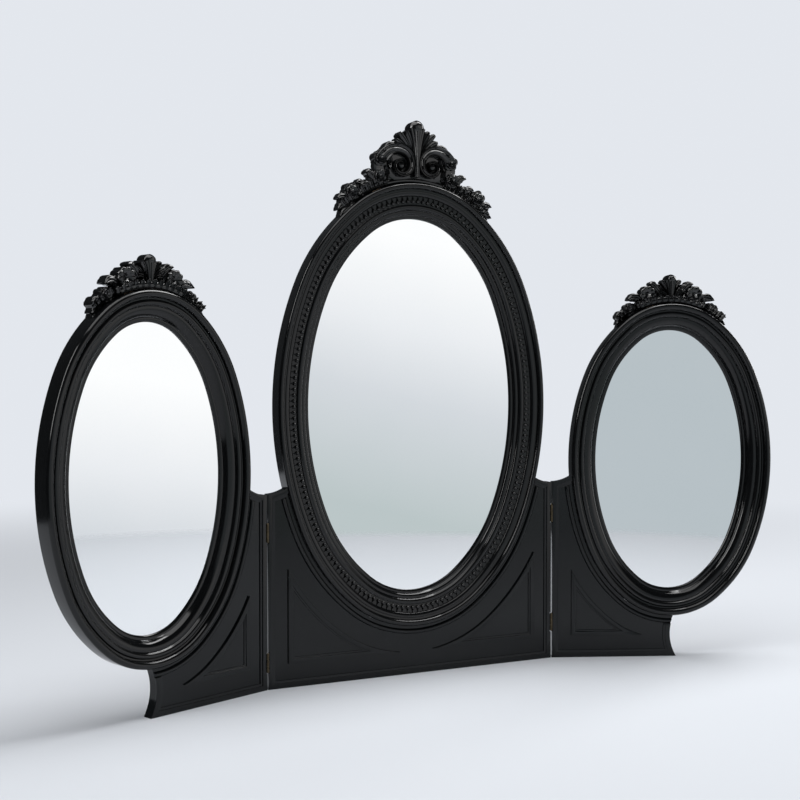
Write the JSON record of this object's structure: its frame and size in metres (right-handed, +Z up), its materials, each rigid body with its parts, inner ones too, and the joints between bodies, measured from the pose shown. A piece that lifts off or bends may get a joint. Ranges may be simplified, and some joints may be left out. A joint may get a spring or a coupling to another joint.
{
  "type": "triple dressing-table mirror",
  "caption": "Free-standing trifold mirror: oval glasses in moulded frames with carved crests, on footed boards; the side wings fold on butt hinges.",
  "frame": {"origin": "middle of the centre board's bottom face, on the table", "axes": "+X to the viewer's right, +Y to the back, +Z up"},
  "size_m": [1.0682, 0.1512, 0.771],
  "materials": {
    "board_lacquer": "satin black lacquer on wood board",
    "frame_lacquer": "satin to gloss black lacquer on moulded wood",
    "carved_lacquer": "gloss black lacquer on carved wood",
    "silvered_glass": "clear silvered float glass",
    "backing_board": "bare brown hardboard",
    "black_steel": "black painted steel",
    "steel_screws": "bright zinc-plated steel",
    "brass_hinge": "polished brass, slightly dulled",
    "tongue_wood": "bare beech"
  },
  "bodies": {
    "centre": {"centre_backing": "backing_board", "centre_board": "board_lacquer", "centre_button_screws": "steel_screws", "centre_crest": "carved_lacquer", "centre_crest_tongues": "tongue_wood", "centre_edge_moulding": "board_lacquer", "centre_frame": "frame_lacquer", "centre_frame_tongues": "tongue_wood", "centre_left_spandrel": "board_lacquer", "centre_mirror_glass": "silvered_glass", "centre_oval_bead": "board_lacquer", "centre_pearl_strip": "carved_lacquer", "centre_right_spandrel": "board_lacquer", "centre_turn_buttons": "black_steel", "left_hinge_centre_leaves": "brass_hinge", "left_hinge_centre_screws": "steel_screws", "left_hinge_pins": "brass_hinge", "right_hinge_centre_leaves": "brass_hinge", "right_hinge_centre_screws": "steel_screws", "right_hinge_pins": "brass_hinge"},
    "left_wing": {"left_backing": "backing_board", "left_board": "board_lacquer", "left_button_screws": "steel_screws", "left_crest": "carved_lacquer", "left_crest_tongues": "tongue_wood", "left_edge_moulding": "board_lacquer", "left_frame": "frame_lacquer", "left_frame_tongues": "tongue_wood", "left_hinge_wing_leaves": "brass_hinge", "left_hinge_wing_screws": "steel_screws", "left_mirror_glass": "silvered_glass", "left_oval_bead": "board_lacquer", "left_spandrel": "board_lacquer", "left_turn_buttons": "black_steel"},
    "right_wing": {"right_backing": "backing_board", "right_board": "board_lacquer", "right_button_screws": "steel_screws", "right_crest": "carved_lacquer", "right_crest_tongues": "tongue_wood", "right_edge_moulding": "board_lacquer", "right_frame": "frame_lacquer", "right_frame_tongues": "tongue_wood", "right_hinge_wing_leaves": "brass_hinge", "right_hinge_wing_screws": "steel_screws", "right_mirror_glass": "silvered_glass", "right_oval_bead": "board_lacquer", "right_spandrel": "board_lacquer", "right_turn_buttons": "black_steel"}
  },
  "joints": [
    {"name": "left_wing_hinge", "type": "hinge", "parent": "centre", "child": "left_wing", "pos_m": [-0.22, -0.009, 0.12], "axis": [0, 0, 1], "range_deg": [-28, 105]},
    {"name": "right_wing_hinge", "type": "hinge", "parent": "centre", "child": "right_wing", "pos_m": [0.22, -0.009, 0.12], "axis": [0, 0, -1], "range_deg": [-28, 105]}
  ]
}
